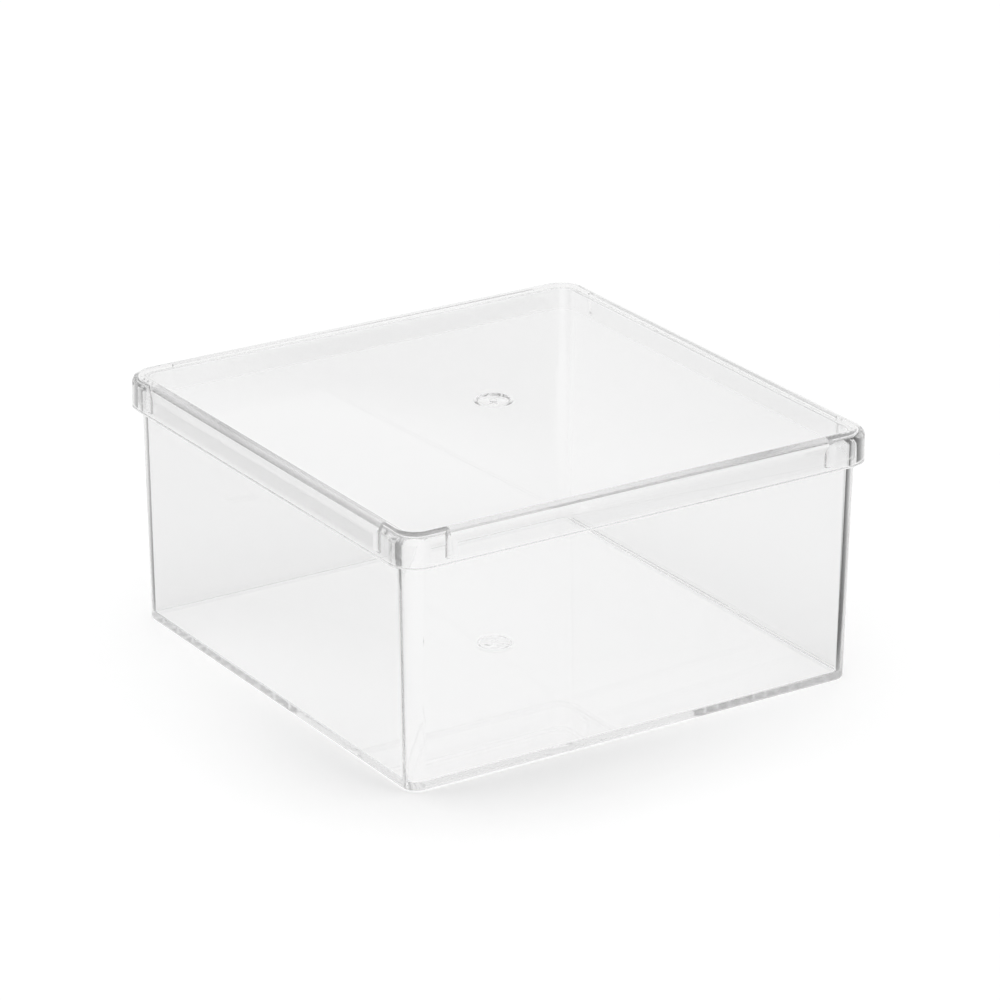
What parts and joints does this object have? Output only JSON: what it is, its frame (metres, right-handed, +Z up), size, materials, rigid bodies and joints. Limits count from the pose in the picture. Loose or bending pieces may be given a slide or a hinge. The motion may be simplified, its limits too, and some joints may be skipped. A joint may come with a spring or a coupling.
{
  "type": "lidded storage box",
  "caption": "Clear square storage box with a flat slip-on lid that lifts straight off; thin drafted walls, rounded corners, ribs and shoulders inside the lid's skirt.",
  "frame": {"origin": "middle of the underside of the box, on the table, with the lid on", "axes": "+Z up through the lid, X and Y square to the sides"},
  "size_m": [0.1, 0.1, 0.0492],
  "materials": {
    "body_plastic": "crystal-clear, polished, colourless",
    "lid_plastic": "crystal-clear, polished, colourless"
  },
  "bodies": {
    "base": {"box_body": "body_plastic"},
    "cover": {"lid": "lid_plastic"}
  },
  "joints": [
    {"name": "lid_lift", "type": "slide", "parent": "base", "child": "cover", "axis": [0, 0, 1], "range_m": [0, 0.08]}
  ]
}
